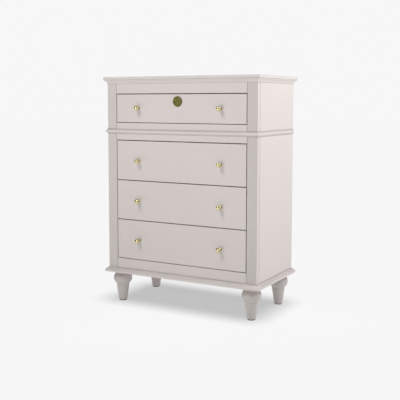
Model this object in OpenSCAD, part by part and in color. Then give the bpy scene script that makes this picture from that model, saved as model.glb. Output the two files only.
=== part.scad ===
// Tall chest of drawers: one shallow drawer over three deep ones, on four turned legs.
// Millimetres. +Z is up, the drawers open towards -Y, and +X is the right side seen from the front.
// The origin is on the floor, under the middle of the overall box.

/* [Carcass] */
// Width across the two side panels
body_w = 850; // [760:10:960]
// Depth from the face frame's front to the side panels' back edge
body_d = 430; // [420:10:480]
// Height of the turned legs, glides included
leg_h = 159; // [155:1:190]
// Thickness of the side panels
side_t = 18; // [16:1:22]
// Thickness of the stiles and rails of the face frame
face_t = 25; // [22:1:28]
// Width of each stile of the face frame
stile_w = 54.5; // [48:0.5:64]
// Thickness of the back panel
back_t = 5; // [3:1:6]

/* [Face frame] */
// Height of the rail under the lowest drawer
bottom_rail_h = 50; // [40:1:70]
// Height of the rail between the shallow drawer and the deep ones
waist_rail_h = 87; // [60:1:110]
// Visible height of the rail above the shallow drawer
top_rail_h = 50; // [40:1:70]
// Width of the small bevel along each frame joint
joint_bevel = 1.3; // [0.8:0.1:2]

/* [Mouldings] */
// Thickness of the top board
top_t = 15; // [14:1:22]
// How far the top and base boards stand past the body on all four sides
overhang = 16; // [15:1:20]
// Height of the cove moulding under the top board
cornice_h = 19; // [17:1:24]
// Thickness of the base board
base_t = 27; // [27:1:32]
// Height of the waist moulding's flat strip
waist_strip_h = 22; // [20:1:26]
// Radius of the half round along the waist moulding
waist_bead_r = 8; // [6:0.5:9]

/* [Drawers] */
// Height of the shallow drawer front
top_drawer_h = 142; // [130:1:160]
// Height of each deep drawer front
deep_drawer_h = 201; // [180:1:220]
// Gap all round each drawer front
reveal = 3; // [2:0.5:4]
// Thickness of a drawer front
front_t = 18; // [16:1:22]
// Thickness of the sides and back of a drawer box
box_t = 12; // [12:1:15]
// Thickness of a drawer's bottom panel
bottom_t = 5; // [4:1:6]
// Length of a drawer's sides
box_l = 377; // [340:1:380]
// Height of the shallow drawer's sides
top_box_h = 100; // [90:1:110]
// Height of a deep drawer's sides
deep_box_h = 155; // [130:1:160]

/* [Knobs and medallion] */
// Diameter of the ball of a knob
knob_d = 25; // [20:1:28]
// How far a knob stands out from the drawer front
knob_out = 36; // [34:1:40]
// Distance of each knob from the middle of the drawer
knob_x = 233; // [200:1:260]
// How far the knobs of a deep drawer sit below its middle
deep_knob_drop = 2; // [0:1:10]
// Diameter of the medallion on the shallow drawer
medallion_d = 50; // [40:1:56]
// Distance from the top edge of the shallow drawer to the medallion's centre
medallion_drop = 37; // [32:1:45]

/* [Hidden] */
$fn = 96;
DRAWERS = [1, 2, 3, 4];
DRAWER_PIECES = [
    "front", "side_left", "side_right", "back", "bottom",
    "knob_left", "knob_right", "knob_screws", "runners"
];
CARCASS_PIECES = [
    "side_panel_left", "side_panel_right", "stile_left", "stile_right",
    "top_rail", "waist_rail", "bottom_rail", "top_board",
    "cornice_front", "cornice_back", "cornice_left", "cornice_right",
    "waist_moulding_front", "waist_moulding_left", "waist_moulding_right",
    "base_board", "back_panel",
    "leg_front_left", "leg_front_right", "leg_back_left", "leg_back_right",
    "leg_bolts", "foot_glides", "medallion"
];
NODES = concat(CARCASS_PIECES, [for (i = DRAWERS) for (p = DRAWER_PIECES) str("drawer_", i, "_", p)]);
node = "all";

paint = [0.80, 0.76, 0.75];
raw_wood = [0.80, 0.68, 0.52];
pale_panel = [0.87, 0.82, 0.74];
brass = [0.83, 0.70, 0.38];
antique_brass = [0.42, 0.39, 0.16];
steel = [0.62, 0.63, 0.65];
dark_plastic = [0.16, 0.16, 0.16];

// Places along Y: the overall box runs from the knobs' tips to the back of the top board
front_y = -(body_d + overhang - knob_out) / 2;
back_y = front_y + body_d;
frame_back_y = front_y + face_t;
front_back_y = front_y + front_t;

// Places along X
half_w = body_w / 2;
side_in_x = half_w - side_t;
opening_x = half_w - stile_w;
front_x = opening_x - reveal;

// Heights
body_z = leg_h + base_t;
bottom_rail_top = body_z + bottom_rail_h;
deep_pitch = deep_drawer_h + reveal;
waist_rail_z = bottom_rail_top + reveal + 3 * deep_pitch;
waist_rail_top = waist_rail_z + waist_rail_h;
waist_mid_z = (waist_rail_z + waist_rail_top) / 2;
top_rail_z = waist_rail_top + top_drawer_h + 2 * reveal;
cornice_z = top_rail_z + top_rail_h;
top_board_z = cornice_z + cornice_h;

// Carcass details
stile_corner_r = 2.5;
side_groove = 2.4;
rebate_w = 9;
rebate_d = back_t + 1;
back_panel_slack = 0.5;
board_edge_r = 4.5;

// Cove moulding under the top board
cove_foot = 1.5;
cove_foot_h = 2;
cove_lip = overhang - 2;
cove_lip_h = 2.5;
cove_r = 22;

// Waist moulding
waist_strip_t = 3;

// Edge of the base board, from its foot up: an upright band, a rounded nose, a 45 degree slope and a
// narrow groove against the carcass
band_foot_r = 2;
nose_z = 9;
nose_r = 5;
quirk_w = 1.8;
quirk_h = 3;

// Each drawer front is this much lower than its place, so its top gap is the wider one
front_drop = 1.2;

// Drawer boxes
box_back_y = front_back_y + box_l;
box_in_x = front_x - box_t;
box_rise = 16;
bottom_up = 10;
bottom_in = 6;
groove_slack = 0.2;

// Runners: a block on the side panel, with a tongue in the groove of the drawer side
tongue_h = 15;
tongue_in = 6;
runner_slack = 0.7;
runner_gap = 1.5;
runner_h = 34;
groove_stop = 22;
runner_back_gap = 8;

// Turned legs
leg_inset_x = 50;
leg_inset_y = 52;
glide_h = 4;
glide_r = 18.8;
glide_edge_r = 1;
toe_r = 2.5;
taper_foot_r = 21.6;
taper_top_r = 32.2;
ring_z = 77;
ring_h = 14;
ring_r = 33;
ring_edge_r = 3;
bulb_z = 120;
bulb_core_r = 15.5;
bulb_round_r = 33;
bulb_cove_r = 12;
collar_z = 145;
collar_r = 35;

// Fasteners
bolt_r = 4;
bolt_len = 72;
bolt_in_base = 22;
bolt_slack = 0.1;
nail_r = 1.25;
nail_len = 16;
screw_r = 2;
screw_slack = 0.15;
screw_head_r = 4.2;
screw_head_h = 2.6;
screw_in_knob = 9;
blind_end = 0.5;

// Knobs
ball_r = knob_d / 2;
neck_foot_r = 4.8;
neck_top_r = 8;
neck_in_ball = 9.5;
foot_r = 5.8;
foot_h = 1.6;

// Medallion, a little left of the middle
medallion_left = 6;
medallion_t = 3;
medallion_rim_r = 2;
medallion_ring_r = 1.2;
medallion_ring_at = 0.62;
medallion_dome_r = 12;
medallion_dome_up = 2;

function is_top(i) = i == 1;
function front_h(i) = is_top(i) ? top_drawer_h : deep_drawer_h;
function front_z(i) =
    is_top(i) ? waist_rail_top + reveal : bottom_rail_top + reveal + (4 - i) * deep_pitch;
function knob_z(i) = front_z(i) + front_h(i) / 2 - (is_top(i) ? 0 : deep_knob_drop);
function box_h(i) = is_top(i) ? top_box_h : deep_box_h;
function box_z(i) = front_z(i) + box_rise;
function runner_z(i) = box_z(i) + box_h(i) / 2;
function node_on(name) = node == "all" || node == name;

// Centre of a circle of radius r through a and b, to the right of the way from a to b
function arc_centre(a, b, r) =
    let (way = b - a, half = norm(way) / 2)
    (a + b) / 2 + [way[1], -way[0]] / norm(way) * sqrt(r * r - half * half);

// ---- Shared shapes ----

// A box between its lowest and highest corners
module block(low, high) {
    translate(low)
        cube(high - low);
}

// A rectangle from the origin, with round corners
module round_rect(w, h, r) {
    translate([r, 0])
        square([w - 2 * r, h]);
    translate([0, r])
        square([w, h - 2 * r]);
    for (x = [r, w - r]) {
        for (y = [r, h - r]) {
            translate([x, y])
                circle(r);
        }
    }
}

// What is cut off a square corner at the origin to round it, for material towards +x and +y
module corner_waste(r) {
    difference() {
        translate([-1, -1])
            square(r + 1);
        translate([r, r])
            circle(r);
    }
}

// A 45 degree bevel along a vertical edge at (x, y)
module upright_bevel(x, y, bevel = joint_bevel) {
    side = bevel * sqrt(2);
    translate([x, y, (body_z + top_board_z) / 2])
        rotate(45)
            cube([side, side, top_board_z], center = true);
}

// A 45 degree bevel along a level edge of a front, at height z
module level_bevel(z, bevel) {
    side = bevel * sqrt(2);
    translate([0, front_y, z])
        rotate([45, 0, 0])
            cube([body_w, side, side], center = true);
}

// Shows the right-hand shape, or its mirror image for the left side
module on_hand(side) {
    mirror([side < 0 ? 1 : 0, 0, 0])
        children();
}

// A moulding against y = 0 whose profile is (distance outward, height), mitred at both ends
module mitred_run(half_l, reach) {
    intersection() {
        rotate([90, 0, -90])
            linear_extrude(2 * (half_l + reach), center = true)
                children();
        linear_extrude(top_board_z)
            polygon([
                [-half_l, 0],
                [half_l, 0],
                [half_l + reach, -reach],
                [-half_l - reach, -reach]
            ]);
    }
}

// Moves a run made against y = 0 to a face of the body
module at_front() {
    translate([0, front_y, 0])
        children();
}

module at_back() {
    translate([0, back_y, 0])
        rotate(180)
            children();
}

module at_side(side) {
    translate([side * half_w, front_y + body_d / 2, 0])
        rotate(side * 90)
            children();
}

// A board with the same edge shape on all four sides, the children being its cross-section of
// width w and of width d
module edged_board(w, d, z) {
    translate([-w / 2, front_y - overhang, z])
        intersection() {
            translate([0, d, 0])
                rotate([90, 0, 0])
                    linear_extrude(d)
                        children(0);
            rotate([90, 0, 90])
                linear_extrude(w)
                    children(1);
        }
}

// ---- Carcass ----

module side_panel(side) {
    color(paint)
        on_hand(side)
            difference() {
                block([side_in_x, frame_back_y, body_z], [half_w, back_y, top_board_z]);
                block([side_in_x - 1, back_y - rebate_d, body_z - 1],
                      [side_in_x + rebate_w, back_y + 1, top_board_z + 1]);
                upright_bevel(half_w, frame_back_y, side_groove);
            }
}

module stile(side) {
    color(paint)
        on_hand(side)
            difference() {
                translate([opening_x, front_y, body_z])
                    linear_extrude(top_board_z - body_z)
                        difference() {
                            square([stile_w, face_t]);
                            translate([stile_w, 0])
                                mirror([1, 0])
                                    corner_waste(stile_corner_r);
                        }
                upright_bevel(opening_x, front_y);
                upright_bevel(half_w, frame_back_y, side_groove);
            }
}

module rail(low, high) {
    color(paint)
        difference() {
            block([-opening_x, front_y, low], [opening_x, frame_back_y, high]);
            upright_bevel(opening_x, front_y);
            upright_bevel(-opening_x, front_y);
            level_bevel(low, joint_bevel / 2);
            level_bevel(high, joint_bevel / 2);
        }
}

module top_rail() {
    rail(top_rail_z, top_board_z);
}

module waist_rail() {
    rail(waist_rail_z, waist_rail_top);
}

module bottom_rail() {
    rail(body_z, bottom_rail_top);
}

module top_board() {
    w = body_w + 2 * overhang;
    d = body_d + 2 * overhang;
    color(paint)
        edged_board(w, d, top_board_z) {
            round_rect(w, top_t, board_edge_r);
            round_rect(d, top_t, board_edge_r);
        }
}

// A small flat at the foot, a hollow, and a flat under the top board
module cornice_profile() {
    foot = [cove_foot, cornice_z + cove_foot_h];
    lip = [cove_lip, top_board_z - cove_lip_h];
    difference() {
        translate([0, cornice_z])
            square([cove_lip, cornice_h]);
        translate([cove_foot, cornice_z - 1])
            square([cove_lip, cove_foot_h + 1]);
        intersection() {
            translate(arc_centre(foot, lip, cove_r))
                circle(cove_r, $fn = 192);
            translate(foot)
                square([cove_lip, lip[1] - foot[1]]);
        }
    }
}

module cornice(half_l) {
    color(paint)
        mitred_run(half_l, overhang)
            cornice_profile();
}

// A flat strip with a half round along its middle
module waist_profile() {
    translate([0, waist_mid_z - waist_strip_h / 2])
        square([waist_strip_t, waist_strip_h]);
    intersection() {
        translate([0, waist_mid_z])
            circle(waist_bead_r);
        translate([0, waist_mid_z - waist_bead_r])
            square([waist_bead_r, 2 * waist_bead_r]);
    }
}

module waist_moulding_front() {
    color(paint)
        at_front()
            mitred_run(half_w, waist_bead_r)
                waist_profile();
}

// The side runs are mitred at the front, and end flush with the back edge of the sides
module waist_moulding_side(side) {
    far = half_w + 2 * waist_bead_r;
    color(paint)
        difference() {
            at_side(side)
                mitred_run(body_d / 2, waist_bead_r)
                    waist_profile();
            block([-far, back_y, 0], [far, back_y + 2 * waist_bead_r, top_board_z]);
        }
}

// What is cut off the base board's left edge, in (distance in from the edge, height)
module base_edge_waste() {
    slope_foot = [nose_r * (1 - cos(45)), nose_z + nose_r * sin(45)];
    rise = base_t + 1 - slope_foot[1];
    corner_waste(band_foot_r);
    difference() {
        polygon([
            [-1, nose_z],
            [nose_r, nose_z],
            slope_foot,
            slope_foot + [rise, rise],
            [-1, base_t + 1]
        ]);
        translate([nose_r, nose_z])
            circle(nose_r);
    }
    translate([overhang - quirk_w, base_t - quirk_h])
        square([quirk_w, quirk_h + 1]);
}

module base_section(w) {
    difference() {
        square([w, base_t]);
        base_edge_waste();
        translate([w, 0])
            mirror([1, 0])
                base_edge_waste();
    }
}

module each_leg_place() {
    for (x = [-1, 1]) {
        for (y = [front_y + leg_inset_y, back_y - leg_inset_y]) {
            translate([x * (half_w - leg_inset_x), y, 0])
                children();
        }
    }
}

module base_board() {
    w = body_w + 2 * overhang;
    d = body_d + 2 * overhang;
    color(paint)
        difference() {
            edged_board(w, d, leg_h) {
                base_section(w);
                base_section(d);
            }
            each_leg_place()
                translate([0, 0, leg_h - 1])
                    cylinder(h = 1 + bolt_in_base + blind_end, r = bolt_r + bolt_slack);
        }
}

module back_panel() {
    x = side_in_x + rebate_w - back_panel_slack;
    y = back_y - rebate_d;
    color(pale_panel)
        block([-x, y, body_z], [x, y + back_t, top_board_z]);
}

// Half of a turned leg's outline, with the bolt hole and the nail hole along its axis
module leg_profile() {
    bolt_end = leg_h + bolt_in_base - bolt_len;
    cove_x = ring_r + bulb_cove_r;
    cove_z = bulb_z - sqrt(pow(bulb_round_r + bulb_cove_r, 2) - pow(cove_x - bulb_core_r, 2));
    difference() {
        union() {
            polygon([
                [0, glide_h],
                [taper_foot_r - toe_r, glide_h],
                [taper_foot_r, glide_h + toe_r],
                [taper_top_r, ring_z],
                [taper_top_r, ring_z + 1],
                [0, ring_z + 1]
            ]);
            translate([taper_foot_r - toe_r, glide_h + toe_r])
                circle(toe_r);
            translate([-ring_r, ring_z])
                round_rect(2 * ring_r, ring_h, ring_edge_r);
            translate([0, bulb_z - bulb_round_r])
                square([bulb_core_r, leg_h - bulb_z + bulb_round_r]);
            translate([bulb_core_r, bulb_z])
                circle(bulb_round_r);
            difference() {
                polygon([
                    [0, cove_z],
                    [cove_x, cove_z],
                    [bulb_core_r, bulb_z],
                    [0, bulb_z]
                ]);
                translate([cove_x, cove_z])
                    circle(bulb_cove_r);
            }
            translate([0, collar_z])
                square([collar_r, leg_h - collar_z]);
        }
        translate([-2 * ring_r, 0])
            square([2 * ring_r, leg_h + 1]);
        translate([-1, bolt_end - blind_end])
            square([1 + bolt_r + bolt_slack, bolt_len]);
        translate([-1, 0])
            square([1 + nail_r + bolt_slack, glide_h + nail_len + blind_end]);
        translate([-1, leg_h])
            square(4 * collar_r);
    }
}

module leg(side, y) {
    color(paint)
        translate([side * (half_w - leg_inset_x), y, 0])
            rotate_extrude()
                leg_profile();
}

module leg_bolts() {
    color(steel)
        each_leg_place()
            translate([0, 0, leg_h + bolt_in_base - bolt_len])
                cylinder(h = bolt_len, r = bolt_r);
}

// Nail-on glides: a hard disc and its nail
module foot_glides() {
    color(dark_plastic)
        each_leg_place()
            rotate_extrude() {
                difference() {
                    square([glide_r, glide_h]);
                    translate([glide_r, 0])
                        mirror([1, 0])
                            corner_waste(glide_edge_r);
                }
                square([nail_r, glide_h + nail_len]);
            }
}

// ---- Drawers ----

module drawer_front(i) {
    low = front_z(i);
    high = low + front_h(i) - front_drop;
    groove_x = box_in_x + bottom_in;
    groove_z = box_z(i) + bottom_up;
    color(paint)
        difference() {
            block([-front_x, front_y, low], [front_x, front_back_y, high]);
            level_bevel(low, joint_bevel / 2);
            level_bevel(high, joint_bevel / 2);
            for (x = [-front_x, front_x]) {
                translate([x, front_y, (low + high) / 2])
                    rotate(45)
                        cube([joint_bevel, joint_bevel, high - low + 2], center = true);
            }
            block([-groove_x, front_back_y - bottom_in, groove_z],
                  [groove_x, front_back_y + 1, groove_z + bottom_t + groove_slack]);
            for (x = [-knob_x, knob_x]) {
                translate([x, front_back_y + 1, knob_z(i)])
                    rotate([90, 0, 0])
                        cylinder(h = front_t + 2, r = screw_r + screw_slack);
            }
        }
}

module drawer_side(i, side) {
    low = box_z(i);
    groove_z = low + bottom_up;
    half_groove = tongue_h / 2 + runner_slack;
    color(raw_wood)
        on_hand(side)
            difference() {
                block([box_in_x, front_back_y, low], [front_x, box_back_y, low + box_h(i)]);
                block([box_in_x - 1, front_back_y - 1, groove_z],
                      [box_in_x + bottom_in, box_back_y + 1, groove_z + bottom_t + groove_slack]);
                block([front_x - tongue_in - runner_slack, front_back_y + groove_stop,
                       runner_z(i) - half_groove],
                      [front_x + 1, box_back_y + 1, runner_z(i) + half_groove]);
            }
}

module drawer_back(i) {
    low = box_z(i) + bottom_up + bottom_t + groove_slack;
    color(raw_wood)
        block([-box_in_x, box_back_y - box_t, low], [box_in_x, box_back_y, box_z(i) + box_h(i)]);
}

module drawer_bottom(i) {
    x = box_in_x + bottom_in - groove_slack;
    low = box_z(i) + bottom_up;
    color(pale_panel)
        block([-x, front_back_y - bottom_in + groove_slack, low], [x, box_back_y, low + bottom_t]);
}

module runners(i) {
    mid = runner_z(i);
    far_y = back_y - rebate_d - runner_back_gap;
    color(raw_wood)
        for (side = [-1, 1]) {
            on_hand(side) {
                block([front_x + runner_gap, frame_back_y, mid - runner_h / 2],
                      [side_in_x, far_y, mid + runner_h / 2]);
                block([front_x - tongue_in, front_back_y + groove_stop + runner_slack,
                       mid - tongue_h / 2],
                      [side_in_x, far_y, mid + tongue_h / 2]);
            }
        }
}

// Half of a knob's outline, from the drawer front outward, with its screw hole
module knob_profile() {
    ball_z = knob_out - ball_r;
    difference() {
        union() {
            translate([-foot_r, 0])
                round_rect(2 * foot_r, foot_h, foot_h / 2.5);
            polygon([
                [0, 0],
                [neck_foot_r, 0],
                [neck_foot_r, foot_h],
                [neck_top_r, ball_z - neck_in_ball],
                [0, ball_z]
            ]);
            translate([0, ball_z])
                circle(ball_r);
        }
        translate([-2 * knob_out, -1])
            square([2 * knob_out, 2 * knob_out]);
        translate([-1, -1])
            square([1 + screw_r + screw_slack, 1 + screw_in_knob + blind_end]);
    }
}

module knob(i, side) {
    color(brass)
        translate([side * knob_x, front_y, knob_z(i)])
            rotate([90, 0, 0])
                rotate_extrude()
                    knob_profile();
}

// Pan-head screws from inside the drawer front into the knobs
module knob_screws(i) {
    color(steel)
        for (x = [-knob_x, knob_x]) {
            translate([x, front_back_y, knob_z(i)])
                rotate([90, 0, 0]) {
                    cylinder(h = front_t + screw_in_knob, r = screw_r);
                    translate([0, 0, -screw_head_h])
                        cylinder(h = screw_head_h, r = screw_head_r);
                }
        }
}

// A plain medallion: a raised rim, one ring and a low dome
module medallion() {
    r = medallion_d / 2;
    dome_back = medallion_t + medallion_dome_up - medallion_dome_r;
    color(antique_brass)
        translate([-medallion_left, front_y, front_z(1) + top_drawer_h - medallion_drop])
            rotate([90, 0, 0])
                rotate_extrude()
                    difference() {
                        union() {
                            square([r, medallion_t]);
                            translate([r - medallion_rim_r, medallion_t])
                                circle(medallion_rim_r);
                            translate([r * medallion_ring_at, medallion_t])
                                circle(medallion_ring_r);
                            translate([0, dome_back])
                                circle(medallion_dome_r);
                        }
                        translate([-2 * r, -2 * r])
                            square([2 * r, 4 * r]);
                        translate([-1, -2 * r])
                            square([2 * r, 2 * r]);
                    }
}

if (node_on("side_panel_left")) side_panel(-1);
if (node_on("side_panel_right")) side_panel(1);
if (node_on("stile_left")) stile(-1);
if (node_on("stile_right")) stile(1);
if (node_on("top_rail")) top_rail();
if (node_on("waist_rail")) waist_rail();
if (node_on("bottom_rail")) bottom_rail();
if (node_on("top_board")) top_board();
if (node_on("cornice_front")) at_front() cornice(half_w);
if (node_on("cornice_back")) at_back() cornice(half_w);
if (node_on("cornice_left")) at_side(-1) cornice(body_d / 2);
if (node_on("cornice_right")) at_side(1) cornice(body_d / 2);
if (node_on("waist_moulding_front")) waist_moulding_front();
if (node_on("waist_moulding_left")) waist_moulding_side(-1);
if (node_on("waist_moulding_right")) waist_moulding_side(1);
if (node_on("base_board")) base_board();
if (node_on("back_panel")) back_panel();
if (node_on("leg_front_left")) leg(-1, front_y + leg_inset_y);
if (node_on("leg_front_right")) leg(1, front_y + leg_inset_y);
if (node_on("leg_back_left")) leg(-1, back_y - leg_inset_y);
if (node_on("leg_back_right")) leg(1, back_y - leg_inset_y);
if (node_on("leg_bolts")) leg_bolts();
if (node_on("foot_glides")) foot_glides();
if (node_on("medallion")) medallion();
for (i = DRAWERS) {
    if (node_on(str("drawer_", i, "_front"))) drawer_front(i);
    if (node_on(str("drawer_", i, "_side_left"))) drawer_side(i, -1);
    if (node_on(str("drawer_", i, "_side_right"))) drawer_side(i, 1);
    if (node_on(str("drawer_", i, "_back"))) drawer_back(i);
    if (node_on(str("drawer_", i, "_bottom"))) drawer_bottom(i);
    if (node_on(str("drawer_", i, "_knob_left"))) knob(i, -1);
    if (node_on(str("drawer_", i, "_knob_right"))) knob(i, 1);
    if (node_on(str("drawer_", i, "_knob_screws"))) knob_screws(i);
    if (node_on(str("drawer_", i, "_runners"))) runners(i);
}
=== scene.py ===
import math

import bmesh
import bpy
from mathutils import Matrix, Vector


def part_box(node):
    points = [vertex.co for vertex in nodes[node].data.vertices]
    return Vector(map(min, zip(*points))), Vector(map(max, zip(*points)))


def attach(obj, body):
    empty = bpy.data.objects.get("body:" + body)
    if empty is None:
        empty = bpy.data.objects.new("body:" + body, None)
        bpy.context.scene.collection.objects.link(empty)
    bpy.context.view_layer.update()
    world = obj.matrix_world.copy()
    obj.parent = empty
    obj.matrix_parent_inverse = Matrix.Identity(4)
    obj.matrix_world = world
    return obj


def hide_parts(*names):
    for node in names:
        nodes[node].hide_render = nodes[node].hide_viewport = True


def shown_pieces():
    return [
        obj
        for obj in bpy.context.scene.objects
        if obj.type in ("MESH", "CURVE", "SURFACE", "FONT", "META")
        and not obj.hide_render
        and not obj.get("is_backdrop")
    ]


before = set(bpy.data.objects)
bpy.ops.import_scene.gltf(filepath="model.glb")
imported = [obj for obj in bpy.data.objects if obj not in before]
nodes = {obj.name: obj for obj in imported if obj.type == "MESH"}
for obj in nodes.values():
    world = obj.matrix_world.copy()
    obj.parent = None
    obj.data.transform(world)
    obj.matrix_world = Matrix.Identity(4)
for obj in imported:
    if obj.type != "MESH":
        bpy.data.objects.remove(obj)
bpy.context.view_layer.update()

MM = 0.001

# ---- Camera ----

CAMERA_PLACE = (1.8638, -3.3351, 1.0447)
CAMERA_YAW = math.radians(29.131)
CAMERA_PITCH = math.radians(5.240)
CAMERA_ROLL = math.radians(-0.039)
CAMERA_SENSOR = 36.0
CAMERA_FOCAL = 66.924
CAMERA_SHIFT = -0.075


def make_camera():
    """The scene's camera, at the photo's viewing angle. Its sensor and focal length are in millimetres."""
    data = bpy.data.cameras.new("camera")
    data.sensor_fit = "HORIZONTAL"
    data.sensor_width = CAMERA_SENSOR
    data.lens = CAMERA_FOCAL
    data.shift_y = CAMERA_SHIFT
    data.clip_start = 0.05
    data.clip_end = 200
    camera = bpy.data.objects.new("camera", data)
    bpy.context.scene.collection.objects.link(camera)
    camera.location = CAMERA_PLACE
    camera.rotation_euler = (math.pi / 2 - CAMERA_PITCH, CAMERA_ROLL, CAMERA_YAW)
    bpy.context.scene.camera = camera


# ---- Node graphs ----

class Graph:
    """A material's nodes, with one Principled shader."""

    def __init__(self, name):
        self.material = bpy.data.materials.new(name)
        self.material.use_nodes = True
        self.tree = self.material.node_tree
        self.tree.nodes.clear()
        self.output = self.node("OutputMaterial")
        self.shader = self.node("BsdfPrincipled")
        self.put(self.output.inputs["Surface"], self.shader.outputs["BSDF"])
        self.where = self.node("TexCoord").outputs["Object"]

    def node(self, kind, values=None, **settings):
        made = self.tree.nodes.new("ShaderNode" + kind)
        for key, value in settings.items():
            setattr(made, key, value)
        for key, value in (values or {}).items():
            self.put(made.inputs[key], value)
        return made

    def put(self, socket, value):
        if isinstance(value, bpy.types.NodeSocket):
            self.tree.links.new(value, socket)
        else:
            socket.default_value = value

    def surface(self, **values):
        for key, value in values.items():
            self.put(self.shader.inputs[key.replace("_", " ")], value)

    def mapped(self, scale, turn=(0, 0, 0), move=(0, 0, 0)):
        values = {"Vector": self.where, "Scale": scale, "Rotation": turn, "Location": move}
        return self.node("Mapping", values).outputs["Vector"]

    def noise(self, vector, scale, detail=3.0, roughness=0.5):
        values = {"Vector": vector, "Scale": scale, "Detail": detail, "Roughness": roughness}
        return self.node("TexNoise", values).outputs["Fac"]

    def math(self, operation, first, second=0.0, third=0.0):
        values = {0: first, 1: second, 2: third}
        return self.node("Math", values, operation=operation).outputs[0]

    def spread(self, value, low, high, to_low=0.0, to_high=1.0):
        """value moved from the range low to high onto to_low to to_high, and held there."""
        values = {0: value, 1: low, 2: high, 3: to_low, 4: to_high}
        return self.node("MapRange", values, clamp=True).outputs[0]

    def mix(self, amount, first, second, blend_type="MIX"):
        values = {0: amount, 6: first, 7: second}
        return self.node("Mix", values, data_type="RGBA", blend_type=blend_type).outputs[2]

    def occlusion(self, distance, inside=False, only_local=False):
        values = {"Distance": distance}
        settings = {"samples": 8, "inside": inside, "only_local": only_local}
        return self.node("AmbientOcclusion", values, **settings).outputs["AO"]

    def bump(self, height, distance, under=None):
        values = {"Height": height, "Distance": distance, "Strength": 1.0}
        if under is not None:
            values["Normal"] = under
        return self.node("Bump", values).outputs["Normal"]


def rgb(red, green, blue):
    return (red, green, blue, 1.0)


# ---- Materials ----

PAINT = (0.678, 0.620, 0.598)
# Painted shade: the near-black colour given to gaps and slots between parts
GAP_PAINTED_SHADE = rgb(0.030, 0.026, 0.024)
# Occlusion looks this far for edges lightened as wear and painted highlight, and for creases and gaps
# darkened as painted shade
WEAR_AND_HIGHLIGHT_REACH = 1.8 * MM
CREASE_REACH = 2.5 * MM
WIDE_CREASE_REACH = 4 * MM
GAP_SHADE_REACH = 5 * MM
WEAR_AND_HIGHLIGHT_TONE = 1.18
WEAR_AND_HIGHLIGHT_DEPTH = 0.45
CREASE_SHADE_TONE = 0.25
CREASE_SHADE_DEPTH = 0.9
GAP_SHADE_DEPTH = 0.95
# An upright side's inner face is about 0.4 m from the middle, so its normal times its place is near -0.4
NOT_INWARD = -0.30
INWARD = -0.35
GRAIN_ALONG = {"x": (1, 0, 0), "y": (0, 1, 0), "z": (0, 0, 1)}


def times(colour, factor):
    return rgb(*(min(1.0, part * factor) for part in colour[:3]))


def grain_scale(axis, along, across):
    return tuple(along if on else across for on in GRAIN_ALONG[axis])


def facing(g, axis, sign):
    """1 on the faces that look along sign times axis, and 0 elsewhere."""
    split = g.node("SeparateXYZ", {0: g.node("NewGeometry").outputs["True Normal"]})
    along = split.outputs["XYZ".index(axis.upper())]
    return g.spread(g.math("MULTIPLY", along, sign), 0.6, 0.9)


def inward(g):
    """1 on the faces of an upright side that look towards the middle of the chest."""
    normal = g.node("SeparateXYZ", {0: g.node("NewGeometry").outputs["True Normal"]})
    place = g.node("SeparateXYZ", {0: g.where})
    product = g.math("MULTIPLY", normal.outputs["X"], place.outputs["X"])
    return g.spread(product, NOT_INWARD, INWARD)


def painted(name, axis, shade=1.0, front_shade=1.0, crease_depth=CREASE_SHADE_DEPTH,
            crease_reach=CREASE_REACH, bare_inside=None):
    """Sprayed satin paint on a board whose grain runs along axis.

    shade darkens the whole coat, and on the legs it is painted shade; front_shade darkens the front face
    alone, as painted shade on the stiles. crease_depth is how dark the painted shade in inner corners is,
    and crease_reach how far from the corner it goes. bare_inside is the colour of an inner face that was
    left unpainted.
    """
    g = Graph(name)
    drift = g.noise(g.where, 2.2, 2.0)
    mottle = g.noise(g.where, 45.0, 4.0)
    tone = g.math("MULTIPLY_ADD", drift, 0.7, g.math("MULTIPLY", mottle, 0.3))
    darker, lighter = times(PAINT, 0.975 * shade), times(PAINT, 1.02 * shade)
    colour = g.mix(g.spread(tone, 0.35, 0.65), darker, lighter)
    # Painted shade: the front face alone is made darker, as on the stiles
    if front_shade != 1.0:
        deeper = g.mix(1.0, colour, times((1, 1, 1), front_shade), blend_type="MULTIPLY")
        colour = g.mix(facing(g, "y", -1), colour, deeper)
    # Edges lightened: partly burnish wear, partly a painted highlight along the bevels
    edge = g.spread(g.occlusion(WEAR_AND_HIGHLIGHT_REACH, inside=True, only_local=True), 0.9, 0.35)
    colour = g.mix(g.math("MULTIPLY", edge, WEAR_AND_HIGHLIGHT_DEPTH), colour, times(PAINT, WEAR_AND_HIGHLIGHT_TONE * shade))
    # Painted shade: gaps and slots between parts darkened towards near-black by occlusion
    hollow = g.spread(g.occlusion(GAP_SHADE_REACH), 0.47, 0.24)
    colour = g.mix(g.math("MULTIPLY", hollow, GAP_SHADE_DEPTH), colour, GAP_PAINTED_SHADE)
    # Painted shade: inner corners, grooves and the joints between parts darkened by occlusion
    if crease_depth > 0:
        crease = g.spread(g.occlusion(crease_reach), 0.94, 0.60)
        colour = g.mix(g.math("MULTIPLY", crease, crease_depth), colour, times(PAINT, CREASE_SHADE_TONE))
    peel = g.noise(g.where, 420.0, 2.0)
    fibres = g.noise(g.mapped(grain_scale(axis, 6.0, 260.0)), 1.0, 4.0, 0.6)
    if bare_inside is not None:
        inside = inward(g)
        streaks = g.mix(g.spread(fibres, 0.3, 0.7), bare_inside, times(bare_inside, 0.78))
        colour = g.mix(inside, colour, streaks)
    normal = g.bump(fibres, 0.040 * MM)
    normal = g.bump(peel, 0.025 * MM, normal)
    rough = g.math("ADD", g.spread(mottle, 0.3, 0.7, 0.36, 0.44), g.math("MULTIPLY", edge, -0.08))
    g.surface(Base_Color=colour, Roughness=rough, Normal=normal, IOR=1.47, Coat_Weight=0.10,
              Coat_Roughness=0.28)
    return g.material


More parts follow.
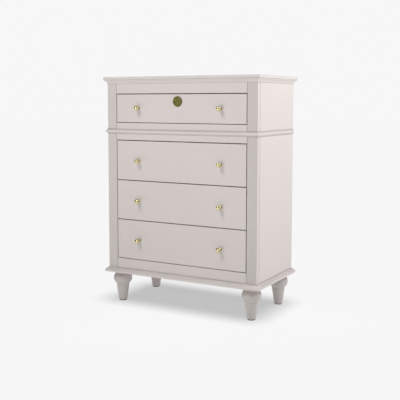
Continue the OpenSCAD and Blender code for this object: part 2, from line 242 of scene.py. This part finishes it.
def bare_wood(axis, name, early, late, ring_gap, contrast):
    """Clear-sealed softwood with growth rings, its grain along axis."""
    g = Graph(name + "_" + axis)
    stretched = g.mapped(grain_scale(axis, 0.10, 1.0), turn=(0.05, 0.03, 0.04), move=(0.31, 0.17, 0.23))
    wave = g.node("TexWave", {
        "Vector": stretched,
        "Scale": 0.314 / ring_gap,
        "Distortion": 7.0,
        "Detail": 3.0,
        "Detail Scale": 1.6,
        "Detail Roughness": 0.55,
    }, wave_type="RINGS", rings_direction=axis.upper(), wave_profile="SAW")
    rings = g.math("POWER", wave.outputs["Fac"], 2.2)
    fibres = g.noise(g.mapped(grain_scale(axis, 9.0, 700.0)), 1.0, 4.0, 0.65)
    drift = g.noise(g.mapped(grain_scale(axis, 1.5, 14.0)), 1.0, 3.0)
    colour = g.mix(g.math("MULTIPLY", rings, contrast), early, late)
    fine = g.spread(fibres, 0.35, 0.75, 0.0, 0.30)
    colour = g.mix(fine, colour, late)
    colour = g.mix(g.spread(drift, 0.3, 0.75, 0.0, 0.35), colour, times(early, 0.86))
    edge = g.spread(g.occlusion(1.5 * MM, inside=True, only_local=True), 0.9, 0.35)
    colour = g.mix(g.math("MULTIPLY", edge, 0.35), colour, times(early, 1.15))
    normal = g.bump(rings, 0.05 * MM)
    normal = g.bump(fibres, 0.07 * MM, normal)
    g.surface(Base_Color=colour, Roughness=g.spread(fibres, 0.3, 0.7, 0.48, 0.62), Normal=normal)
    return g.material


def polished_brass():
    """Lacquered polished brass, lathe-turned round the Y axis."""
    g = Graph("polished_brass")
    smear = g.noise(g.where, 160.0, 3.0)
    turning = g.noise(g.mapped((40.0, 2600.0, 40.0)), 1.0, 2.0)
    hollow = g.spread(g.occlusion(6 * MM), 0.85, 0.2)
    colour = g.mix(g.spread(smear, 0.35, 0.7), rgb(0.74, 0.67, 0.37), rgb(0.66, 0.58, 0.28))
    colour = g.mix(g.math("MULTIPLY", hollow, 0.55), colour, rgb(0.30, 0.24, 0.09))
    normal = g.bump(turning, 0.006 * MM)
    rough = g.math("ADD", g.spread(smear, 0.35, 0.7, 0.10, 0.17), g.math("MULTIPLY", hollow, 0.15))
    g.surface(Base_Color=colour, Metallic=1.0, Roughness=rough, Normal=normal, Coat_Weight=0.25,
              Coat_Roughness=0.08)
    return g.material


def aged_brass():
    """Dark olive brass, rubbed brighter on its high places."""
    g = Graph("aged_brass")
    patina = g.noise(g.where, 320.0, 5.0, 0.6)
    fine = g.noise(g.where, 1500.0, 3.0)
    high = g.spread(g.occlusion(1.0 * MM, inside=True, only_local=True), 0.95, 0.45)
    low = g.spread(g.occlusion(2.5 * MM), 0.9, 0.25)
    colour = g.mix(g.spread(patina, 0.35, 0.7), rgb(0.225, 0.200, 0.048), rgb(0.155, 0.145, 0.038))
    colour = g.mix(g.math("MULTIPLY", high, 0.65), colour, rgb(0.50, 0.46, 0.21))
    colour = g.mix(g.math("MULTIPLY", low, 0.75), colour, rgb(0.030, 0.026, 0.010))
    normal = g.bump(fine, 0.02 * MM)
    normal = g.bump(patina, 0.05 * MM, normal)
    g.surface(Base_Color=colour, Metallic=0.75, Roughness=g.spread(patina, 0.3, 0.7, 0.34, 0.52),
              Normal=normal)
    return g.material


def zinc():
    g = Graph("zinc_steel")
    spangle = g.noise(g.where, 900.0, 3.0)
    colour = g.mix(g.spread(spangle, 0.35, 0.7), rgb(0.52, 0.53, 0.55), rgb(0.66, 0.66, 0.65))
    # Painted shade: recesses, such as the cross in a screw head, darkened towards dark grey by occlusion
    hollow = g.spread(g.occlusion(1.5 * MM), 0.85, 0.2)
    colour = g.mix(g.math("MULTIPLY", hollow, 0.6), colour, rgb(0.10, 0.10, 0.10))
    g.surface(Base_Color=colour, Metallic=1.0, Roughness=g.spread(spangle, 0.3, 0.7, 0.30, 0.42),
              Normal=g.bump(spangle, 0.01 * MM))
    return g.material


def dark_plastic():
    g = Graph("dark_plastic")
    grain = g.noise(g.where, 1400.0, 3.0)
    scuff = g.noise(g.where, 120.0, 5.0, 0.65)
    colour = g.mix(g.spread(scuff, 0.5, 0.8), rgb(0.030, 0.030, 0.031), rgb(0.075, 0.073, 0.070))
    g.surface(Base_Color=colour, Roughness=g.spread(scuff, 0.3, 0.7, 0.45, 0.60),
              Normal=g.bump(grain, 0.03 * MM))
    return g.material


def dress(piece, material):
    """Gives every face of a piece one material."""
    piece.data.materials.clear()
    piece.data.materials.append(material)


EASED_WIDTH = 0.5 * MM
EASED_SEGMENTS = 3
SHARP_ANGLE = math.radians(28)


def ease_edges(piece):
    """Rounds the sharp edges of a CAD node with modifiers, which leave its mesh as it is."""
    weld = piece.modifiers.new("weld", "WELD")
    weld.merge_threshold = 0.01 * MM
    bevel = piece.modifiers.new("ease", "BEVEL")
    bevel.width = EASED_WIDTH
    bevel.segments = EASED_SEGMENTS
    bevel.limit_method = "ANGLE"
    bevel.angle_limit = SHARP_ANGLE
    bevel.use_clamp_overlap = True
    even = piece.modifiers.new("even", "WEIGHTED_NORMAL")
    even.weight = 100


PINE_EARLY = rgb(0.72, 0.54, 0.345)
PINE_LATE = rgb(0.50, 0.32, 0.165)
PLY_EARLY = rgb(0.76, 0.62, 0.44)
PLY_LATE = rgb(0.60, 0.45, 0.28)
PINE_RING_GAP = 6 * MM
PLY_RING_GAP = 22 * MM
PINE_CONTRAST = 0.55
PLY_CONTRAST = 0.30
# Painted shade: how much darker the paint is on the stiles' front faces and on the legs
STILE_FRONT_PAINTED_SHADES = {"left": 0.925, "right": 0.855}
LEG_PAINTED_SHADE = 0.82
DRAWERS = (1, 2, 3, 4)

paint = {axis: painted("painted_wood_" + axis, axis) for axis in "xyz"}
stile_paint = {side: painted("painted_stile_" + side, "z", front_shade=shade,
                             crease_reach=WIDE_CREASE_REACH)
               for side, shade in STILE_FRONT_PAINTED_SHADES.items()}
leg_paint = painted("painted_leg", "z", shade=LEG_PAINTED_SHADE, crease_depth=0.0)
base_paint = painted("painted_base", "x", crease_depth=0.8)
side_paint = painted("painted_side", "z", crease_reach=WIDE_CREASE_REACH, bare_inside=PINE_EARLY)
strip_paint = {axis: painted("painted_strip_" + axis, axis, crease_reach=WIDE_CREASE_REACH)
               for axis in "xy"}
pine = {axis: bare_wood(axis, "pine", PINE_EARLY, PINE_LATE, PINE_RING_GAP, PINE_CONTRAST)
        for axis in "xy"}
ply = {axis: bare_wood(axis, "birch_ply", PLY_EARLY, PLY_LATE, PLY_RING_GAP, PLY_CONTRAST)
       for axis in "xz"}
brass = polished_brass()
old_brass = aged_brass()
steel = zinc()
plastic = dark_plastic()


def dress_cad_nodes():
    for side in ("left", "right"):
        dress(nodes["side_panel_" + side], side_paint)
        dress(nodes["stile_" + side], stile_paint[side])
        for place in ("front", "back"):
            dress(nodes["leg_%s_%s" % (place, side)], leg_paint)
        dress(nodes["cornice_" + side], paint["y"])
        dress(nodes["waist_moulding_" + side], strip_paint["y"])
    for name in ("top_rail", "waist_rail", "bottom_rail", "top_board", "cornice_front", "cornice_back"):
        dress(nodes[name], paint["x"])
    dress(nodes["waist_moulding_front"], strip_paint["x"])
    dress(nodes["base_board"], base_paint)
    dress(nodes["back_panel"], ply["z"])
    dress(nodes["leg_bolts"], steel)
    dress(nodes["foot_glides"], plastic)
    for number in DRAWERS:
        start = "drawer_%d_" % number
        dress(nodes[start + "front"], paint["x"])
        dress(nodes[start + "side_left"], pine["y"])
        dress(nodes[start + "side_right"], pine["y"])
        dress(nodes[start + "back"], pine["x"])
        dress(nodes[start + "runners"], pine["y"])
        dress(nodes[start + "bottom"], ply["x"])
        dress(nodes[start + "knob_left"], brass)
        dress(nodes[start + "knob_right"], brass)


def ease_cad_nodes():
    """Rounds the boards that the CAD leaves sharp; the drawer fronts have their own bevels there."""
    boards = ("panel", "stile", "rail", "side_", "_back", "_bottom", "runners")
    for name, piece in nodes.items():
        if name.startswith(("leg", "cornice", "waist_moulding")):
            continue
        if any(word in name for word in boards):
            ease_edges(piece)


# ---- Pieces ----

def add_piece(name, bm, material, body, smooth=True):
    """Makes a mesh object of bm that rides on body."""
    bmesh.ops.recalc_face_normals(bm, faces=bm.faces)
    mesh = bpy.data.meshes.new(name)
    bm.to_mesh(mesh)
    bm.free()
    for face in mesh.polygons:
        face.use_smooth = smooth
    mesh.materials.append(material)
    piece = bpy.data.objects.new(name, mesh)
    bpy.context.scene.collection.objects.link(piece)
    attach(piece, body)
    return piece


MEDALLION_TURNS = 288
MEDALLION_RINGS = 70
PETALS = 12
BEADS = 36
PETAL_POWER = 0.7
# The medallion's relief in millimetres: heights over the ground, and the radii between which each band runs
GROUND_H = 2.6
DOME_R = 5.0
DOME_H = 2.2
PETAL_BAND = (5.4, 13.6)
PETAL_H = 1.3
RING_BAND = (14.2, 16.2)
RING_H = 1.1
BEAD_BAND = (16.8, 20.4)
BEAD_H = 1.0
RIM_BAND = (21.0, 25.0)
RIM_H = 2.3
FIRST_RING_R = 0.3


def bump_between(radius, band):
    """A half-round hump of height 1 between a band's two radii."""
    start, end = band
    share = (radius - start) / (end - start)
    return math.sqrt(max(0.0, 1 - (2 * share - 1) ** 2)) if 0 < share < 1 else 0.0


def medallion_height(radius, angle):
    """How far the medallion stands out at a point, in millimetres: dome, petals, ring, beads and rim."""
    petal = abs(math.cos(angle * PETALS / 2))
    bead = abs(math.cos(angle * BEADS / 2))
    height = GROUND_H
    if radius < DOME_R:
        height += DOME_H * math.sqrt(1 - (radius / DOME_R) ** 2)
    height += PETAL_H * bump_between(radius, PETAL_BAND) * petal ** PETAL_POWER
    height += RING_H * bump_between(radius, RING_BAND)
    height += BEAD_H * bump_between(radius, BEAD_BAND) * bead
    height += RIM_H * bump_between(radius, RIM_BAND)
    return height


def make_medallion():
    """The medallion with its relief, as rings of points from the middle out, in the CAD disc's place."""
    low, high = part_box("medallion")
    middle = (low + high) / 2
    full_r = (high.x - low.x) / 2
    face_y = high.y
    deepest = high.y - low.y
    ring_span = RIM_BAND[1] - FIRST_RING_R
    bm = bmesh.new()
    rows = []
    for ring in range(MEDALLION_RINGS + 1):
        radius = FIRST_RING_R + ring_span * ring / MEDALLION_RINGS
        row = []
        for turn in range(MEDALLION_TURNS):
            angle = 2 * math.pi * turn / MEDALLION_TURNS
            out = min(medallion_height(radius, angle) * MM, deepest)
            across = min(radius * MM, full_r)
            x = middle.x + across * math.cos(angle)
            z = middle.z + across * math.sin(angle)
            row.append(bm.verts.new((x, face_y - out, z)))
        rows.append(row)
    back = [bm.verts.new((vert.co.x, face_y, vert.co.z)) for vert in rows[-1]]
    rows.append(back)
    for inner, outer in zip(rows, rows[1:]):
        for k in range(MEDALLION_TURNS):
            after = (k + 1) % MEDALLION_TURNS
            bm.faces.new((inner[k], inner[after], outer[after], outer[k]))
    bm.faces.new(rows[0])
    bm.faces.new(list(reversed(back)))
    piece = add_piece("medallion_relief", bm, old_brass, "drawer_1")
    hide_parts("medallion")


SCREW_TURNS = 40
SCREW_SHANK_R = 2.0 * MM
SCREW_TIP_SHARE = 0.55
HEAD_ARC_STEPS = 8
HEAD_RIM_SHARE = 0.35
RECESS_HALF_WIDTH = 0.55 * MM
RECESS_HALF_LENGTH = 2.3 * MM
RECESS_DEPTH = 1.5 * MM
RECESS_FOOT_SHARE = 0.6


def lathe(bm, profile, turns):
    """Turns an outline of (radius, height) round the Z axis. Its first and last points are on the axis."""
    rows = []
    for radius, height in profile[1:-1]:
        row = []
        for turn in range(turns):
            angle = 2 * math.pi * turn / turns
            row.append(bm.verts.new((radius * math.cos(angle), radius * math.sin(angle), height)))
        rows.append(row)
    for first, second in zip(rows, rows[1:]):
        for k in range(turns):
            after = (k + 1) % turns
            bm.faces.new((first[k], first[after], second[after], second[k]))
    for row, tip_height in ((rows[0], profile[0][1]), (rows[-1], profile[-1][1])):
        tip = bm.verts.new((0, 0, tip_height))
        for k in range(turns):
            bm.faces.new((row[k], row[(k + 1) % turns], tip))


def mesh_of(bm, name):
    """Makes a mesh of bm with its faces turned outwards, and frees bm."""
    bmesh.ops.recalc_face_normals(bm, faces=bm.faces)
    mesh = bpy.data.meshes.new(name)
    bm.to_mesh(mesh)
    bm.free()
    return mesh


def screw_body(length, head_r, head_h):
    """A pan head above the XY plane and its shank below."""
    profile = [
        (0, -length),
        (SCREW_SHANK_R * SCREW_TIP_SHARE, -length),
        (SCREW_SHANK_R, -length + SCREW_SHANK_R),
        (SCREW_SHANK_R, 0),
        (head_r, 0),
    ]
    for k in range(HEAD_ARC_STEPS):
        turn = math.pi / 2 * k / HEAD_ARC_STEPS
        height = head_h * (HEAD_RIM_SHARE + (1 - HEAD_RIM_SHARE) * math.sin(turn))
        profile.append((head_r * math.cos(turn), height))
    profile.append((0, head_h))
    bm = bmesh.new()
    lathe(bm, profile, SCREW_TURNS)
    return mesh_of(bm, "screw_body")


def cross_recess(head_h):
    """The cross that is cut into a head of this height, narrower at its foot."""
    outline = []
    for quarter in range(4):
        turn = math.pi / 2 * quarter
        for x, y in (
            (RECESS_HALF_LENGTH, -RECESS_HALF_WIDTH),
            (RECESS_HALF_LENGTH, RECESS_HALF_WIDTH),
            (RECESS_HALF_WIDTH, RECESS_HALF_WIDTH),
        ):
            turned_x = x * math.cos(turn) - y * math.sin(turn)
            turned_y = x * math.sin(turn) + y * math.cos(turn)
            outline.append((turned_x, turned_y))
    bm = bmesh.new()
    share = RECESS_FOOT_SHARE
    top = [bm.verts.new((x, y, head_h + MM)) for x, y in outline]
    foot = [bm.verts.new((x * share, y * share, head_h - RECESS_DEPTH)) for x, y in outline]
    bm.faces.new(top)
    bm.faces.new(list(reversed(foot)))
    for k in range(len(outline)):
        after = (k + 1) % len(outline)
        bm.faces.new((top[k], top[after], foot[after], foot[k]))
    return mesh_of(bm, "screw_recess")


def pan_head_screw(length, head_r, head_h):
    """A screw mesh with a cross recess in its head, which is at the top of a shank down the Z axis."""
    screw = bpy.data.objects.new("screw_master", screw_body(length, head_r, head_h))
    tool = bpy.data.objects.new("screw_tool", cross_recess(head_h))
    for made in (screw, tool):
        bpy.context.scene.collection.objects.link(made)
    cut = screw.modifiers.new("recess", "BOOLEAN")
    cut.operation = "DIFFERENCE"
    cut.solver = "EXACT"
    cut.object = tool
    bpy.context.view_layer.update()
    shown = screw.evaluated_get(bpy.context.evaluated_depsgraph_get())
    result = bpy.data.meshes.new_from_object(shown)
    bpy.data.objects.remove(screw)
    bpy.data.objects.remove(tool)
    return result


def make_knob_screws():
    """Each screw goes forward through a drawer front into its knob, with its head inside the drawer."""
    for number in DRAWERS:
        node = "drawer_%d_knob_screws" % number
        low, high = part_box(node)
        head_r = (high.z - low.z) / 2
        inside_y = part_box("drawer_%d_front" % number)[1].y
        head_h = high.y - inside_y
        mesh = pan_head_screw(inside_y - low.y, head_r, head_h)
        middle_z = (low.z + high.z) / 2
        bm = bmesh.new()
        for x in (low.x + head_r, high.x - head_r):
            before = set(bm.verts)
            bm.from_mesh(mesh)
            for vert in set(bm.verts) - before:
                vert.co = Vector((x + vert.co.x, inside_y + vert.co.z, middle_z - vert.co.y))
        body = "drawer_%d" % number
        piece = add_piece(body + "_pan_screws", bm, steel, body, False)
        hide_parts(node)


PIN_TURNS = 20
PIN_SHANK_R = 0.8 * MM
PIN_LENGTH = 6 * MM
PIN_HEAD_R = 2.4 * MM
PIN_HEAD_H = 0.7 * MM
PIN_HEAD_EDGE_H = 0.4 * MM
PIN_HEAD_TOP_SHARE = 0.8
PIN_FROM_EDGE = 4.5 * MM
PIN_FROM_END = 40 * MM
PINS_EACH_SIDE = 9


def make_back_pins():
    """Flat-headed pins hold the back panel in the rebates of the sides."""
    low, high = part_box("back_panel")
    first = low.z + PIN_FROM_END
    last = high.z - PIN_FROM_END
    bm = bmesh.new()
    profile = [
        (0, -PIN_LENGTH),
        (PIN_SHANK_R, -PIN_LENGTH),
        (PIN_SHANK_R, 0),
        (PIN_HEAD_R, 0),
        (PIN_HEAD_R, PIN_HEAD_EDGE_H),
        (PIN_HEAD_R * PIN_HEAD_TOP_SHARE, PIN_HEAD_H),
        (0, PIN_HEAD_H),
    ]
    for x in (low.x + PIN_FROM_EDGE, high.x - PIN_FROM_EDGE):
        for k in range(PINS_EACH_SIDE):
            z = first + (last - first) * k / (PINS_EACH_SIDE - 1)
            before = set(bm.verts)
            lathe(bm, profile, PIN_TURNS)
            for vert in set(bm.verts) - before:
                vert.co = Vector((x + vert.co.x, high.y + vert.co.z, z - vert.co.y))
    add_piece("back_panel_pins", bm, steel, "carcass", False)


# ---- Floor and light ----

BACKDROP = 0.930
FLOOR_RADIUS = 40.0
FLOOR_ALBEDO = 0.12
FLOOR_SHADE = 0.43
WORLD_LIGHT = 0.02


def make_floor():
    """A pale floor. Its own glow and the light from above make it as bright as the backdrop together,
    apart from the shadow under the chest."""
    mesh = bpy.data.meshes.new("floor")
    bm = bmesh.new()
    bmesh.ops.create_circle(bm, cap_ends=True, segments=128, radius=FLOOR_RADIUS)
    bm.to_mesh(mesh)
    bm.free()
    floor = bpy.data.objects.new("floor", mesh)
    bpy.context.scene.collection.objects.link(floor)
    material = bpy.data.materials.new("pale_floor")
    material.use_nodes = True
    tree = material.node_tree
    tree.nodes.clear()
    output = tree.nodes.new("ShaderNodeOutputMaterial")
    diffuse = tree.nodes.new("ShaderNodeBsdfDiffuse")
    diffuse.inputs["Color"].default_value = rgb(FLOOR_ALBEDO, FLOOR_ALBEDO, FLOOR_ALBEDO)
    glow = tree.nodes.new("ShaderNodeEmission")
    glow.inputs["Strength"].default_value = BACKDROP - FLOOR_SHADE - FLOOR_ALBEDO * WORLD_LIGHT
    add = tree.nodes.new("ShaderNodeAddShader")
    tree.links.new(diffuse.outputs[0], add.inputs[0])
    tree.links.new(glow.outputs[0], add.inputs[1])
    tree.links.new(add.outputs[0], output.inputs["Surface"])
    mesh.materials.append(material)
    floor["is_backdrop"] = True
    return floor


def make_world():
    """The camera sees the pale backdrop, and everything else a much dimmer light."""
    world = bpy.data.worlds.new("studio")
    bpy.context.scene.world = world
    world.use_nodes = True
    tree = world.node_tree
    tree.nodes.clear()
    output = tree.nodes.new("ShaderNodeOutputWorld")
    seen = tree.nodes.new("ShaderNodeBackground")
    seen.inputs["Color"].default_value = rgb(1, 1, 1)
    seen.inputs["Strength"].default_value = BACKDROP
    lit = tree.nodes.new("ShaderNodeBackground")
    lit.inputs["Color"].default_value = rgb(1, 1, 1)
    lit.inputs["Strength"].default_value = WORLD_LIGHT
    path = tree.nodes.new("ShaderNodeLightPath")
    mix = tree.nodes.new("ShaderNodeMixShader")
    tree.links.new(path.outputs["Is Camera Ray"], mix.inputs[0])
    tree.links.new(lit.outputs[0], mix.inputs[1])
    tree.links.new(seen.outputs[0], mix.inputs[2])
    tree.links.new(mix.outputs[0], output.inputs["Surface"])


AIM = Vector((0, 0, 0.62))
LAMPS = {
    "key_right": {"place": (2.00, 0.10, 2.60), "size": 1.4, "power": 46},
    "low_right": {"place": (2.60, 0.50, 1.50), "size": 1.2, "power": 16},
    "front_high": {"place": (-0.45, -2.27, 3.20), "size": 1.2, "power": 34},
    "front_near": {"place": (-0.30, -1.60, 2.20), "size": 0.8, "power": 4.5},
    "front_mid": {"place": (0.00, -1.35, 1.05), "size": 0.6, "power": 1.3},
    "front_low": {"place": (0.05, -1.35, 0.45), "size": 0.5, "power": 2.0},
    "back_left": {"place": (-2.40, 2.60, 1.80), "size": 1.4, "power": 70},
}
FLOOR_SUN_ANGLE = 62
FLOOR_SUN_TURN = (8, 9, 0)


def make_lamp(name, place, size, power, lit):
    """A square soft light aimed at the chest. It lights only the objects in the collection lit."""
    data = bpy.data.lights.new(name, "AREA")
    data.shape = "SQUARE"
    data.size = size
    data.energy = power
    lamp = bpy.data.objects.new(name, data)
    bpy.context.scene.collection.objects.link(lamp)
    lamp.location = place
    lamp.rotation_euler = (AIM - lamp.location).to_track_quat("-Z", "Y").to_euler()
    lamp.light_linking.receiver_collection = lit
    lamp.visible_camera = False


def make_lights(floor):
    """Lamps that light only the chest, and a wide sun that lights only the floor. The floor's shadow
    comes from the base board, the legs and the glides."""
    lit = bpy.data.collections.new("lit_by_lamps")
    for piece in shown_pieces():
        lit.objects.link(piece)
    for name, spec in LAMPS.items():
        make_lamp(name, lit=lit, **spec)
    ground = bpy.data.collections.new("lit_from_above")
    ground.objects.link(floor)
    data = bpy.data.lights.new("floor_sun", "SUN")
    data.angle = math.radians(FLOOR_SUN_ANGLE)
    data.energy = FLOOR_SHADE / FLOOR_ALBEDO * math.pi
    sun = bpy.data.objects.new("floor_sun", data)
    bpy.context.scene.collection.objects.link(sun)
    sun.rotation_euler = [math.radians(turn) for turn in FLOOR_SUN_TURN]
    sun.light_linking.receiver_collection = ground
    low_down = bpy.data.collections.new("shades_the_floor")
    for name, piece in nodes.items():
        if name == "base_board" or name == "foot_glides" or name.startswith("leg_"):
            low_down.objects.link(piece)
    sun.light_linking.blocker_collection = low_down


make_camera()
dress_cad_nodes()
ease_cad_nodes()
make_medallion()
make_knob_screws()
make_back_pins()
floor = make_floor()
make_world()
make_lights(floor)
bpy.context.scene.view_settings.view_transform = "Standard"
